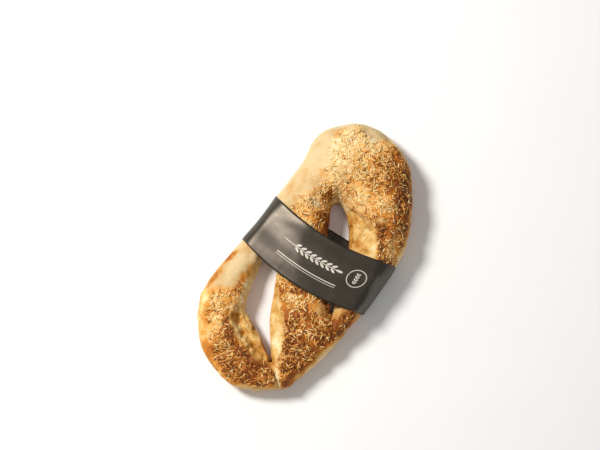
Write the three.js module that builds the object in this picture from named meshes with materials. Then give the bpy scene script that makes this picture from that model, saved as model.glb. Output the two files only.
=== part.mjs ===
// Fougasse: a flat leaf-shaped hearth loaf, slashed twice before baking so that the dough opens into
// three strands, with a plain paper band wrapped round its waist.
//
// Units are millimetres. +Z is up, +Y runs along the loaf from its narrow foot to its broad head, and the
// origin is under the middle of the loaf, on the surface that it rests on.
//
// The loaf is one baked piece, so it is one solid: a rounded slab whose outline and two slits are closed
// splines. The band is a taut closed strip: at every girth direction a plane just touches the loaf, and the
// planes of neighbouring directions meet along the strip's creases.
import * as THREE from "three";

// ---- Driving dimensions ----
const EQUATOR = 12; // height of the widest line round the loaf, where its side turns under
const UNDER_RIM = 16; // how far in from an edge the underside keeps curving before it is flat
const UNDER = 15; // depth below the equator that the underside would reach if the oven floor weren't there
const FOOT_CROWN = 13; // rise of the crust over the equator at the foot
const HEAD_CROWN = 28; // the same at the head
const FOOT_RIM = 17; // how far in from an edge the crust keeps rising at the foot
const HEAD_RIM = 34; // the same at the head
const CLIMB = [-80, 75]; // where, along the loaf, the crust's height starts and stops climbing
const CLIMB_ACROSS = 0.9; // how much a millimetre to the right counts along that climb
const BAND_WIDTH = 50;
const BAND_THICKNESS = 0.4;
const BAND_GAP = 0.4; // air between the crust and the paper
const BAND_ANGLE = THREE.MathUtils.degToRad(-8); // the band's run across the loaf, turned from +X
const BAND_CENTRE = new THREE.Vector2(11.4, 8);
const BAND_BOW = 12.5; // how far the paper's middle slips towards the foot on the tapering crust
const BAND_DIRECTIONS = 48; // girth directions at which the paper touches the loaf
const LEFT_TAPER = -0.1; // how much, per millimetre towards the head, the paper's left side leans outwards
const RIGHT_TAPER = -0.02; // the same for its right side
const TOP_TAPER = 0.1; // the same for its top
const SEAT_RELIEF = 1; // the underside is lifted this much where the band passes under it
const SEAT_MARGIN = 7; // the crust out to here, past the paper's edges, holds the paper up
const SEAT_FADE = [8, 20]; // where, past the paper's edges, the lifted underside comes down to the table
const CELL = 5.5; // edge of the cells that the crust is faceted with

// ---- Outline and slits, as points of closed splines ----
const OUTLINE = [
  [13, 132], [30, 127.5], [44, 119], [54, 109.5], [61.5, 97], [69.5, 79], [76, 59], [78.5, 40], [77, 22],
  [73.5, 2], [68, -22], [60.5, -44], [53.5, -67], [45, -88], [36.5, -103], [31.5, -112], [20, -118.5],
  [4, -126], [-14, -128.5], [-33, -121.5], [-46, -113], [-56.5, -101.5], [-66.5, -83], [-69.5, -60],
  [-64, -30], [-54.5, -1], [-47.5, 27], [-42, 53], [-37, 77], [-34.5, 101], [-24.5, 117], [-7, 128.5],
];
const UPPER_SLIT = [
  [8, 56], [16, 52], [23, 43], [29, 31], [34, 16], [38, -4], [40.5, -22], [41, -38], [32, -24], [24, -8],
  [17, 8], [11, 24], [7, 40], [4, 50],
];
const LOWER_SLIT = [
  [-27, 22], [-22, 6], [-19.5, -12], [-17, -26], [-12.5, -40], [-8.5, -56], [-4, -69], [3, -81], [4.5, -87],
  [-2, -85], [-11, -76.5], [-21, -71], [-29, -64], [-32.5, -50], [-33, -30], [-33, -8], [-31, 10],
];
const SPLINE_STEPS = 6; // straight pieces between two points of a spline

// The closed spline through the points, as a ring of short straight pieces.
function ring(points) {
  const corners = points.map(([x, y]) => new THREE.Vector3(x, y, 0));
  const curve = new THREE.CatmullRomCurve3(corners, true, "centripetal");
  return curve.getPoints(points.length * SPLINE_STEPS).slice(0, -1).map((p) => new THREE.Vector2(p.x, p.y));
}

const EDGES = [OUTLINE, UPPER_SLIT, LOWER_SLIT].map(ring);

// Distance from a point to one straight piece.
function distanceToPiece(p, a, b) {
  const along = b.clone().sub(a);
  const t = THREE.MathUtils.clamp(p.clone().sub(a).dot(along) / along.lengthSq(), 0, 1);
  return p.distanceTo(a.clone().addScaledVector(along, t));
}

// How deep a point of the plan lies inside the dough: negative outside the outline and inside a slit.
function depthInPlan(p) {
  let nearest = Infinity;
  let inside = false;
  for (const edge of EDGES) {
    edge.forEach((a, i) => {
      const b = edge[(i + 1) % edge.length];
      nearest = Math.min(nearest, distanceToPiece(p, a, b));
      if (a.y > p.y !== b.y > p.y && p.x < ((b.x - a.x) * (p.y - a.y)) / (b.y - a.y) + a.x) inside = !inside;
    });
  }
  return inside ? nearest : -nearest;
}

// ---- The band's own frame: u across the loaf, v along it ----
const U_AXIS = new THREE.Vector2(Math.cos(BAND_ANGLE), Math.sin(BAND_ANGLE));
const V_AXIS = new THREE.Vector2(-U_AXIS.y, U_AXIS.x);

function toBand(x, y) {
  const offset = new THREE.Vector2(x, y).sub(BAND_CENTRE);
  return { u: offset.dot(U_AXIS), v: offset.dot(V_AXIS) };
}

// A geometry from its vertices and the triangles between them.
function closed(positions, triangles) {
  const geometry = new THREE.BufferGeometry();
  geometry.setAttribute("position", new THREE.Float32BufferAttribute(positions, 3));
  geometry.setIndex(triangles);
  geometry.computeVertexNormals();
  return geometry;
}

// ---- The loaf ----
// How far the crust has climbed from the foot's height to the head's, 0 to 1.
function climb(x, y) {
  return THREE.MathUtils.smoothstep(y + CLIMB_ACROSS * x, ...CLIMB);
}

// Height of the underside: flat, and lifted where the paper passes.
function underside(x, y) {
  const past = Math.abs(toBand(x, y).v) - BAND_WIDTH / 2;
  return SEAT_RELIEF * (1 - THREE.MathUtils.smoothstep(past, ...SEAT_FADE));
}

// Negative inside the dough, positive outside, and near an edge about the distance to the surface.
function dough(x, y, z, depth) {
  const risen = climb(x, y);
  const rim = z > EQUATOR ? THREE.MathUtils.lerp(FOOT_RIM, HEAD_RIM, risen) : UNDER_RIM;
  const reach = z > EQUATOR ? THREE.MathUtils.lerp(FOOT_CROWN, HEAD_CROWN, risen) : UNDER;
  const body = (Math.hypot(Math.max(0, rim - depth) / rim, (z - EQUATOR) / reach) - 1) * UNDER;
  return Math.max(body, underside(x, y) - z);
}

// The lattice that the crust is faceted on: its first node, how many nodes each way, and one step each way.
const LOW = [-82, -140, -CELL / 2];
const COUNT = [31, 52, 10];
const STEPS = [[1, 0, 0], [0, 1, 0], [0, 0, 1]];

function nodeId(i, j, k) {
  return (i * COUNT[1] + j) * COUNT[2] + k;
}

function place(i, j, k) {
  return [LOW[0] + i * CELL, LOW[1] + j * CELL, LOW[2] + k * CELL];
}

// Calls visit(i, j, k) for every node from the first one given to the last but one.
function eachNode(first, visit) {
  for (let i = first; i < COUNT[0] - 1; i++) {
    for (let j = first; j < COUNT[1] - 1; j++) {
      for (let k = 0; k < COUNT[2] - 1; k++) visit(i, j, k);
    }
  }
}

// Where the dough at two opposite corners of a lattice square would touch only in between, fills a third
// corner.
function closePinches(field) {
  const jump = STEPS.map((step) => nodeId(...step));
  let filled = true;
  const closeSquare = (at, p, q) => {
    const corners = [at, at + p, at + p + q, at + q];
    const inside = corners.map((n) => field[n] < 0);
    if (inside[0] !== inside[2] || inside[1] !== inside[3] || inside[0] === inside[1]) return;
    const open = corners.filter((n) => field[n] >= 0);
    field[field[open[0]] < field[open[1]] ? open[0] : open[1]] = -0.01 * CELL;
    filled = true;
  };
  while (filled) {
    filled = false;
    eachNode(0, (i, j, k) => {
      for (let axis = 0; axis < 3; axis++) closeSquare(nodeId(i, j, k), jump[axis], jump[(axis + 1) % 3]);
    });
  }
}

// Facets the surface where dough() is zero: one vertex in each cell that the surface crosses, and one quad
// round each lattice edge that it crosses.
function facet() {
  const field = new Float64Array(COUNT[0] * COUNT[1] * COUNT[2]);
  for (let i = 0; i < COUNT[0]; i++) {
    for (let j = 0; j < COUNT[1]; j++) {
      const [x, y] = place(i, j, 0);
      const depth = depthInPlan(new THREE.Vector2(x, y));
      for (let k = 0; k < COUNT[2]; k++) field[nodeId(i, j, k)] = dough(x, y, place(i, j, k)[2], depth);
    }
  }
  closePinches(field);

  // The vertex of a cell: the mean of the points where the surface crosses the cell's edges.
  const vertexOf = new Map();
  const positions = [];
  eachNode(0, (i, j, k) => {
    const sum = new THREE.Vector3();
    let crossings = 0;
    for (let corner = 0; corner < 8; corner++) {
      const start = [i + (corner & 1), j + ((corner >> 1) & 1), k + ((corner >> 2) & 1)];
      STEPS.forEach((step, axis) => {
        if ((corner >> axis) & 1) return;
        const end = start.map((n, m) => n + step[m]);
        const a = field[nodeId(...start)];
        const b = field[nodeId(...end)];
        if (a < 0 === b < 0) return;
        sum.add(new THREE.Vector3(...place(...start)).lerp(new THREE.Vector3(...place(...end)), a / (a - b)));
        crossings++;
      });
    }
    if (!crossings) return;
    sum.divideScalar(crossings);
    vertexOf.set(nodeId(i, j, k), positions.length / 3);
    positions.push(sum.x, sum.y, sum.z);
  });

  const triangles = [];
  eachNode(1, (i, j, k) => {
    STEPS.forEach((step, axis) => {
      const start = [i, j, k];
      const a = field[nodeId(...start)];
      const b = field[nodeId(...start.map((n, m) => n + step[m]))];
      if (a < 0 === b < 0) return;
      const [p, q] = [STEPS[(axis + 1) % 3], STEPS[(axis + 2) % 3]];
      const cell = (s, t) => vertexOf.get(nodeId(...start.map((n, m) => n - s * p[m] - t * q[m])));
      const quad = [cell(0, 0), cell(1, 0), cell(1, 1), cell(0, 1)];
      if (a >= 0) quad.reverse();
      triangles.push(quad[0], quad[1], quad[2], quad[0], quad[2], quad[3]);
    });
  });
  return closed(positions, triangles);
}

// ---- The band ----
// The paper's four edges run round the loaf: outside and inside, at the head side and at the foot side. Each
// is the ring of points where the touching planes of neighbouring girth directions meet.
function wrap(loaf) {
  const crust = loaf.getAttribute("position");
  const touched = [];
  for (let n = 0; n < crust.count; n++) {
    const { u, v } = toBand(crust.getX(n), crust.getY(n));
    const z = crust.getZ(n);
    if (Math.abs(v) < BAND_WIDTH / 2 + SEAT_MARGIN) touched.push({ u, v, z });
  }
  const directions = Array.from({ length: BAND_DIRECTIONS }, (_, n) => {
    const angle = (n / BAND_DIRECTIONS) * 2 * Math.PI;
    const [across, up] = [Math.cos(angle), Math.sin(angle)];
    const sideTaper = across < 0 ? LEFT_TAPER : RIGHT_TAPER;
    const taper = sideTaper * Math.abs(across) + TOP_TAPER * Math.max(0, up);
    const reach = Math.max(...touched.map((p) => p.u * across + p.z * up - p.v * taper));
    return { across, up, taper, reach };
  });
  const meet = (n, v, outward) => {
    const [a, b] = [directions[n], directions[(n + 1) % BAND_DIRECTIONS]];
    const [reachA, reachB] = [a, b].map((d) => d.reach + d.taper * v + outward);
    const turn = a.across * b.up - a.up * b.across;
    return { u: (reachA * b.up - reachB * a.up) / turn, z: (a.across * reachB - b.across * reachA) / turn };
  };
  const halfSpan = Math.max(...touched.map((p) => Math.abs(p.u)));

  const positions = [];
  const corners = [[1, true], [-1, true], [-1, false], [1, false]];
  for (let n = 0; n < BAND_DIRECTIONS; n++) {
    for (const [side, outer] of corners) {
      const v = (side * BAND_WIDTH) / 2;
      const { u, z } = meet(n, v, BAND_GAP + (outer ? BAND_THICKNESS : 0));
      const onTop = THREE.MathUtils.smoothstep(z, 0, EQUATOR * 2);
      const bow = BAND_BOW * onTop * Math.max(0, 1 - (u / halfSpan) ** 2);
      const plan = BAND_CENTRE.clone().addScaledVector(U_AXIS, u).addScaledVector(V_AXIS, v - bow);
      positions.push(plan.x, plan.y, z);
    }
  }
  const triangles = [];
  const id = (n, c) => (n % BAND_DIRECTIONS) * 4 + (c % 4);
  for (let n = 0; n < BAND_DIRECTIONS; n++) {
    for (let c = 0; c < 4; c++) {
      const quad = [id(n, c), id(n + 1, c), id(n + 1, c + 1), id(n, c + 1)];
      triangles.push(quad[0], quad[1], quad[2], quad[0], quad[2], quad[3]);
    }
  }
  return closed(positions, triangles);
}

// ---- Assembly ----
function named(name, geometry, material) {
  const mesh = new THREE.Mesh(geometry, material);
  mesh.name = name;
  return mesh;
}

const crust = new THREE.MeshStandardMaterial({ color: 0xcf9650, roughness: 0.8, metalness: 0 });
const paper = new THREE.MeshStandardMaterial({ color: 0x4e4a46, roughness: 0.55, metalness: 0 });

const loaf = facet();
const band = wrap(loaf);
const extent = new THREE.Box3();
for (const geometry of [loaf, band]) {
  geometry.computeBoundingBox();
  extent.union(geometry.boundingBox);
}
const middle = extent.getCenter(new THREE.Vector3());

const fougasse = new THREE.Group();
fougasse.add(named("loaf", loaf.translate(-middle.x, -middle.y, 0), crust));
fougasse.add(named("paper_band", band.translate(-middle.x, -middle.y, 0), paper));

export default fougasse;
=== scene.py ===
import math

import bpy
import numpy as np
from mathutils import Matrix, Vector


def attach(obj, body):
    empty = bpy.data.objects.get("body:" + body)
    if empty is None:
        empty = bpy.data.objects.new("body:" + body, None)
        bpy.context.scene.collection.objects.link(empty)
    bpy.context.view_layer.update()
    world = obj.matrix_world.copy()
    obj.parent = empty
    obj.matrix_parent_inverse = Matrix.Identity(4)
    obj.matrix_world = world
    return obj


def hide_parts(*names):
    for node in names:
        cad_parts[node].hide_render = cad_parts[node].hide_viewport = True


# A fougasse: a flat leaf-shaped hearth loaf, slit twice before baking so that its dough opens into three
# strands, topped with toasted shreds and rosemary, with a paper band round its waist.
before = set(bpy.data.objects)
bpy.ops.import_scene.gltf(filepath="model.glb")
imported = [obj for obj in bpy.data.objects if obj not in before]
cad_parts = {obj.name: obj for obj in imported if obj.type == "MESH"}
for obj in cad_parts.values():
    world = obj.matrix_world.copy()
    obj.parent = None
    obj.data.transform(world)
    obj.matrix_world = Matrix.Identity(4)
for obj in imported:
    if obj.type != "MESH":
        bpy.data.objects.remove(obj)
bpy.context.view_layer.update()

MM = 0.001  # the plan below is in millimetres, and Blender's meshes are in metres

# ---- The plan of the loaf, in millimetres: x across it, y from its foot to its head ----
MIDDLE = np.array([4.536, 1.754])  # where the frame's origin lies in the plan
OUTLINE = [
    (13, 132), (30, 127.5), (44, 119), (54, 109.5), (61.5, 97), (69.5, 79), (76, 59), (78.5, 40),
    (77, 22), (73.5, 2), (68, -22), (60.5, -44), (53.5, -67), (45, -88), (36.5, -103), (31.5, -112),
    (20, -118.5), (4, -126), (-14, -128.5), (-33, -121.5), (-46, -113), (-56.5, -101.5), (-66.5, -83),
    (-69.5, -60), (-64, -30), (-54.5, -1), (-47.5, 27), (-42, 53), (-37, 77), (-34.5, 101), (-24.5, 117),
    (-7, 128.5),
]
UPPER_SLIT = [
    (8, 56), (16, 52), (23, 43), (29, 31), (34, 16), (38, -4), (40.5, -22), (41, -38), (32, -24),
    (24, -8), (17, 8), (11, 24), (7, 40), (4, 50),
]
LOWER_SLIT = [
    (-27, 22), (-22, 6), (-19.5, -12), (-17, -26), (-12.5, -40), (-8.5, -56), (-4, -69), (1.5, -80),
    (6, -89), (9.5, -96), (4.5, -91.5), (-3, -84.5), (-12, -77.5), (-21, -71), (-29, -64), (-32.5, -50),
    (-33, -30), (-33, -8), (-31, 10),
]
SLIT_TIP = [  # opened wide before it closes to a point
    (-7, -74), (3, -77), (8, -88.5), (11.6, -99), (3, -93), (-4.6, -86),
]

# Where stretched dough shows, without crust or topping. Each ring runs along the torn edge of the crust
# and back through the slit.
UPPER_BANK = [
    (7, 57), (15, 55.5), (24, 53), (33, 52), (41, 50.5), (47, 47), (51, 41), (55, 34), (58, 26), (60, 14),
    (59, -2), (54, -18), (47, -33), (41, -38), (38, -10), (30, 16), (20, 40),
]
UPPER_LEFT_WALL = [
    (6, 54), (3, 48), (3.5, 38), (6, 26), (12, 10), (20, -8), (30, -24), (36, -20), (24, 14), (13, 42),
]
LOWER_RIGHT_WALL = [
    (-18, -18), (-12, -31), (-5, -43), (-1, -49), (3.5, -56), (9.5, -64), (13.2, -73), (15.4, -82),
    (16.3, -92), (20.4, -102.5), (27, -114.5), (21, -112), (14.8, -104.5), (11.5, -98.5), (4, -86),
    (-8, -66), (-16, -40),
]
LOWER_LEFT_BANK = [
    (-36, -60), (-39, -69), (-39, -77), (-35, -84), (-28, -89), (-20, -92.5), (-12, -96.5), (-5, -100),
    (4, -101.5), (12, -103.5), (18, -107), (12, -98), (2, -86), (-14, -72), (-28, -60),
]
ARM_INNER_WALL = [
    (-37, 8), (-38, -14), (-38.5, -32), (-38, -50), (-37, -62), (-28, -62), (-29, -40), (-29, 0),
]
TEARS = (UPPER_BANK, UPPER_LEFT_WALL, LOWER_RIGHT_WALL, LOWER_LEFT_BANK, ARM_INNER_WALL)
SUNKEN_TEARS = [  # (tear, how far its dough sank)
    (UPPER_BANK, 8.5), (LOWER_RIGHT_WALL, 5), (LOWER_LEFT_BANK, 6), (ARM_INNER_WALL, 2),
]
TEAR_SLOPE = 6  # how far in from its edge a tear is most of the way down

# Where the crust is bare.
FLANK = [
    (-2, 136), (-5, 124), (-15, 117), (-19, 109), (-16, 99), (-13, 88), (-12, 78), (-15, 69), (-11, 63),
    (-14, 56), (-20, 50), (-24, 42), (-27, 33), (-30, 20), (-33, 0), (-33, -20), (-35, -38), (-41, -48),
    (-50, -54), (-62, -57), (-74, -60), (-76, -20), (-66, 30), (-58, 70), (-48, 120), (-25, 136),
]
HEAD_PATCH = [(-3, 136), (-2, 127), (4, 121), (12, 118), (20, 120), (25, 126), (24, 136)]
SHOULDER_ROLL = [(10, 60), (20, 61), (32, 59), (40, 56), (44, 52), (34, 52), (24, 53), (12, 55)]
BARE_BUBBLES = [
    [(28, -33), (33, -33), (37, -38), (38, -45), (35, -49), (30, -47), (27, -40)],
    [(42, -29), (49, -29), (54, -31), (52, -36), (47, -40), (43, -37)],
    [(-14, 48), (-6, 48), (-4, 42), (-10, 40), (-15, 43)],
    [(-1, -37), (4, -35.5), (7, -38), (5, -42), (0, -42)],
    [(46, 54), (54, 55), (57, 51), (50, 48), (45, 50)],
]
BARE_LINES = [  # edges of the tears that the topping has fallen away from
    [(-40, -80), (-35, -88), (-28, -93), (-18, -98), (-8, -102), (4, -105)],
    [(14, -98), (18, -105), (22, -111), (25, -116)],
]
SEAMS = [  # creases that carry on from the ends of the slits: (points, depth at each end, half width)
    ([(9.5, -96), (12.7, -101.5), (17.5, -107.5), (23, -113), (26, -118)], (11, 3), 1.6),
    ([(40, -34), (43, -41), (46, -47)], (9, 1), 1.8),
    ([(8, 54), (5, 60), (2, 66)], (6, 1), 1.8),
]
# Torn edges of the crust.
UPPER_LIP = [
    (7, 58), (15, 56), (24, 53.5), (33, 52.5), (41, 51), (47, 47.5), (51, 41.5), (55, 34), (58, 26),
    (60, 14),
]
ARM_LIP = [
    (-11, -31), (-5, -42), (-1, -49), (4, -56.5), (10.5, -65), (14.5, -74), (16.7, -83), (18, -92),
    (20.5, -101),
]
LOWER_LIP = [
    (-38, -66), (-39, -77), (-35, -85), (-28, -90), (-20, -93.5), (-12, -97.5), (-5, -101), (4, -102.5),
]
BANK_RIDGE = [
    (-36, -68), (-36.5, -75), (-34, -81), (-28, -86), (-20, -89.5), (-12, -93), (-4, -97), (4, -99),
]
BANK_HOLLOW = [(-33, -66), (-32.5, -73), (-29, -78), (-23, -82.5), (-15, -87), (-7, -91.5), (2, -95)]
LIPS = [  # (line, how far it stands up, half width)
    (UPPER_LIP, 1.1, 2.4), (ARM_LIP, 1.3, 2.0), (LOWER_LIP, 1.2, 2.4), (BANK_RIDGE, 2.2, 1.7),
    (BANK_HOLLOW, -2.4, 2.0),
]
PITS = [  # x, y, radius
    (-35, -72.5, 2.3), (-31, -76.5, 2.6), (-22.5, -83.5, 2.4), (-10, -90, 1.8), (-39, -34, 1.3),
]
SWELLS = [  # broad rises and dips of the crust: (x, y, radius, height)
    (-46, -96, 17, 1.8), (-10, -116, 15, 1.2), (30, -60, 17, 1.6), (28, -95, 12, 0.8), (40, 88, 22, 1.8),
    (4, 96, 20, 1.6), (38, 64, 13, -1.6), (60, 52, 12, 1.0), (-12, 40, 12, 1.3), (-57, -62, 12, 1.0),
    (-24, -110, 3.6, 1.0), (-11.5, -106.5, 3.4, 1.0), (33, -41, 6, 1.2), (47, -34, 6, 1.2),
    (10, 112, 12, -0.8), (-24, 62, 14, -0.9), (20, -38, 9, 1.0), (-30, -104, 9, -1.0),
]
TOAST_AND_PAINTED_SHADING_SPOTS = [  # where the crust is browner, or paler: mostly how it browned, with some spots of painted shade and painted light noted below: (x, y, half length, half width, turn in degrees, amount)
    # the head
    (56, 98, 26, 12, -62, 0.42), (68, 70, 26, 9, -75, 0.28), (42, 96, 18, 8, -50, 0.2),
    (28, 86, 12, 5, -70, 0.14), (67, 36, 12, 7, -80, -0.34), (20, 72, 14, 7, -30, -0.08),
    (44, 66, 15, 9, 0, -0.3), (0, 66, 12, 8, 20, -0.2), (-10, 95, 18, 14, 60, -0.22),
    (6, 112, 16, 9, 0, -0.16), (-22, 58, 10, 5, 50, -0.1),
    # round the upper slit; (27, 37) browns the slit's right edge: toasted, and partly painted shade
    (53, 42, 9, 3.4, -70, 0.9), (60, 28, 12, 4, -84, 0.3), (-3, 57, 8, 5, 62, 0.4),
    (5, 34, 18, 4.5, -75, 0.5), (37, 28, 6, 3, -10, 1.0), (46, 24, 5, 2.4, -30, 0.8),
    (27, 37, 17, 3, -64, 0.9), (31, 48, 8, 1.8, -8, 0.4), (52, 20, 14, 6, -86, -0.4),
    # the long left strand
    (-60, -27, 7, 2.2, 66, 1.2), (-65.5, -49, 8, 2.0, 78, 1.3), (-61, -38, 14, 3.4, 74, 0.12),
    (-41, -42, 14, 3, 80, 0.46), (-42, -38, 4, 2.4, 70, 0.25), (-66, -74, 20, 4, -82, -0.08),
    # round the lower slit; (9, -95) is painted shade in the slit's closing tip, and (-38.5, -78) browns the
    # bank's steep lip: toasted, and partly painted shade
    (9, -95, 4, 2.2, -60, 0.9), (-34, -87, 12, 4, -48, 0.75), (-14, -101, 17, 4, -22, 0.6),
    (-34, -73, 5, 4, 0, 0.55), (-38.5, -78, 8, 3, 92, 0.55), (-26, -86, 15, 2.6, -38, -0.24),
    (-20, -81.5, 13, 1.6, -38, 0.3), (-9, -84, 18, 3, -38, 0.18), (-1, -62, 14, 3, -64, 0.12),
    (13, -88, 22, 3.5, -66, -0.45), (20, -107, 9, 2.4, -60, -0.4),
    # the middle and right strands; (50, -72) makes the lower right rim paler: its bare crust, and partly
    # painted light on that side in shade
    (6, -30, 14, 5, -12, 0.34), (36, -34, 7, 3, -55, 0.55), (56, -50, 18, 9, 72, 0.24),
    (26, -92, 16, 10, 62, 0.25), (-8, -38, 6, 4, -60, 0.36), (14, -64, 17, 3, -62, 0.34),
    (18, -44, 9, 6, -20, 0.12), (50, -72, 28, 6, 66, -0.36), (54, -37, 6, 3, -40, 0.3),
    # the foot; (-16, -124) makes the foot's edge paler: its bare crust, and partly painted light on that side
    # in shade
    (4, -118, 24, 8, 4, 0.22), (31, -110, 8, 5, 40, 0.3), (-30, -110, 18, 9, -35, 0.24),
    (-16, -124, 26, 4, 6, -0.12), (-48, -106, 16, 6, -40, 0.12), (-14, -112, 26, 9, 0, 0.12),
    (24, -110, 14, 4, 40, -0.2),
    # round single blisters
    (-24, -110, 3.4, 3.4, 0, -0.2), (-11.5, -106.5, 3.2, 3.2, 0, -0.2), (33, -41, 7, 4, 80, -0.12),
    (47, -34, 6, 4, 0, -0.2), (50, 52, 4, 2.4, 20, -0.55), (-10, 45, 4, 2.6, 0, -0.6),
    (3, -39, 3.6, 2.4, 0, -0.8),
]

# ---- How thick the loaf is, in millimetres ----
EQUATOR = 12  # height of the widest line round the loaf
UNDER = 15  # how deep the underside's curve is, before the flat base cuts it
UNDER_RIM = 16  # how far in from the edge that curve runs
FOOT_CROWN, HEAD_CROWN = 13, 28  # how high the crust stands over the widest line
FOOT_RIM, HEAD_RIM = 17, 34  # how far in from the edge it still rises
CLIMB = (-80, 75)  # where the foot's height begins to change to the head's, and where it has
CLIMB_ACROSS = 0.9  # how much further up the climb each millimetre to the right is
SEAT_RELIEF = 1.0  # room under the loaf for the paper
SEAT_FADE = (8, 20)  # how far past the paper's edges that room begins to close, and has closed
ROUNDING = 5  # how far the plain crust's ridges are rounded off
LIP_FADE = 0.12  # share of a lip's length in which it fades out, at each end
PIT_DEPTH = 1.1  # as a share of the pit's radius
FACE_SIZE = 1.05  # of the even faces the loaf is remade in
TORN_FIBRES = np.array([[1.0, 0.42, 0.0], [0.42, 1.0, 0.0], [0.0, 0.0, 1.0]])  # stretches the tears' lumps

# ---- The topping ----
SHREDS_IN_LAYER, NEEDLES = 2500, 30
SLIVER_SIDES = 4
SLIVER_WIDTHS = [0.62, 0.95, 1.0, 0.9, 0.55]  # from one end of a sliver to the other, as shares of its width
SLIVER_HEIGHT = 0.62  # as a share of its width

# ---- The paper band ----
BAND_WIDTH = 50
BAND_ANGLE = math.radians(-8)
BAND_CENTRE = np.array([11.4, 8.0])
BAND_BOW = 12.5  # how far the top of the paper has slipped towards the foot, at its middle
BAND_HALF_SPAN = 68  # how far from the middle it has stopped slipping
PAPER = 0.25  # thickness
PAPER_GAP, LAP_GAP = 0.35, 0.06  # between the paper and the loaf, and between its own two ends
BAND_STEPS, BAND_SLICES = 420, 27  # corners along the strip, and across it
BAND_DIRECTIONS = 240  # in which each slice of the taut loop is measured
SLICE_REACH = 3.2  # how far from a slice the loaf still holds the paper out
STRIP_SCALE = 100.0  # millimetres of the strip to one unit of its map
BAND_OVERLAP = 22  # how far one end of the strip lies over the other, underneath
FOLD_SOFTNESS = 1.7  # how far along the paper a fold is rounded


# ---- Number work ----
def smoothstep(low, high, value):
    t = np.clip((value - low) / (high - low), 0, 1)
    return t * t * (3 - 2 * t)


def closed_curve(points, steps=6):
    """A smooth closed ring through the points."""
    p = np.array(points, float)
    before, after, beyond = np.roll(p, 1, 0), np.roll(p, -1, 0), np.roll(p, -2, 0)
    square = 2 * before - 5 * p + 4 * after - beyond
    cube = 3 * p - before - 3 * after + beyond
    shares = np.arange(steps) / steps
    rings = [0.5 * (2 * p + (after - before) * t + square * t**2 + cube * t**3) for t in shares]
    return np.stack(rings, 1).reshape(-1, 2)


# The plan is a grid of points over the loaf and a little way round it, in millimetres.
PLAN_LOW = np.array([-92.0, -148.0])
PLAN_STEP = 0.75
PLAN_SHAPE = (246, 395)
PLAN_X, PLAN_Y = np.meshgrid(
    PLAN_LOW[0] + PLAN_STEP * np.arange(PLAN_SHAPE[0]),
    PLAN_LOW[1] + PLAN_STEP * np.arange(PLAN_SHAPE[1]),
    indexing="ij",
)


def piece_distance(a, b):
    """How far the whole plan is from one straight piece, and the share of it passed at its nearest point."""
    along = b - a
    t = np.clip(((PLAN_X - a[0]) * along[0] + (PLAN_Y - a[1]) * along[1]) / max(along @ along, 1e-9), 0, 1)
    return np.hypot(PLAN_X - a[0] - t * along[0], PLAN_Y - a[1] - t * along[1]), t


def inward(points):
    """How far inside a smooth closed ring each point of the plan is: negative outside."""
    ring = closed_curve(points)
    nearest = np.full(PLAN_SHAPE, 1e9)
    inside = np.zeros(PLAN_SHAPE, bool)
    for a, b in zip(ring, np.roll(ring, -1, 0)):
        nearest = np.minimum(nearest, piece_distance(a, b)[0])
        if a[1] != b[1]:
            spans = (a[1] > PLAN_Y) != (b[1] > PLAN_Y)
            inside ^= spans & (PLAN_X < (b[0] - a[0]) * (PLAN_Y - a[1]) / (b[1] - a[1]) + a[0])
    return np.where(inside, nearest, -nearest)


def from_line(points):
    """How far the plan is from an open line, and the share of it passed at its nearest point."""
    p = np.array(points, float)
    nearest = np.full(PLAN_SHAPE, 1e9)
    along = np.zeros(PLAN_SHAPE)
    for n, (a, b) in enumerate(zip(p[:-1], p[1:])):
        d, t = piece_distance(a, b)
        closer = d < nearest
        nearest = np.where(closer, d, nearest)
        along = np.where(closer, (n + t) / (len(p) - 1), along)
    return nearest, along


def blur(field, width):
    """The field smoothed over about `width` millimetres."""
    reach = int(3 * width / PLAN_STEP)
    taps = np.exp(-0.5 * (np.arange(-reach, reach + 1) * PLAN_STEP / width) ** 2)
    taps /= taps.sum()
    for axis in (0, 1):
        field = sum(w * np.roll(field, n - reach, axis) for n, w in enumerate(taps))
    return field


def read(field, x, y):
    """The plan's field at the given points, between its grid points."""
    gx = np.clip((x - PLAN_LOW[0]) / PLAN_STEP, 0, PLAN_SHAPE[0] - 1.001)
    gy = np.clip((y - PLAN_LOW[1]) / PLAN_STEP, 0, PLAN_SHAPE[1] - 1.001)
    i, j = gx.astype(int), gy.astype(int)
    s, t = gx - i, gy - j
    return (
        field[i, j] * (1 - s) * (1 - t)
        + field[i + 1, j] * s * (1 - t)
        + field[i, j + 1] * (1 - s) * t
        + field[i + 1, j + 1] * s * t
    )


LATTICE = np.random.default_rng(7).standard_normal((40, 40, 40, 3))
LATTICE /= np.linalg.norm(LATTICE, axis=-1, keepdims=True)


def ripple(points, size, shift):
    """Smooth unevenness, about -1 to 1, in lumps of about `size` millimetres."""
    q = np.asarray(points) / size + shift
    base = np.floor(q).astype(int)
    f = q - base
    ease = f**3 * (f * (f * 6 - 15) + 10)
    total = 0
    for corner in np.ndindex(2, 2, 2):
        at = (base + corner) % 40
        weight = np.prod(np.where(np.array(corner) == 1, ease, 1 - ease), axis=-1)
        total = total + weight * np.sum(LATTICE[at[:, 0], at[:, 1], at[:, 2]] * (f - corner), axis=-1)
    return total * 1.6


def layered(points, size, layers, shift=0.0):
    """Unevenness with finer unevenness on it."""
    return sum(ripple(points, size / 2**n, shift + 3.1 * n) / 2**n for n in range(layers))


def read_ragged(field, points):
    """The plan's field at the given points, with its edges made uneven."""
    x, y, _ = points.T
    return read(field, x + 1.8 * ripple(points, 7, 3.3), y + 1.8 * ripple(points, 7, 7.7))


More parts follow.
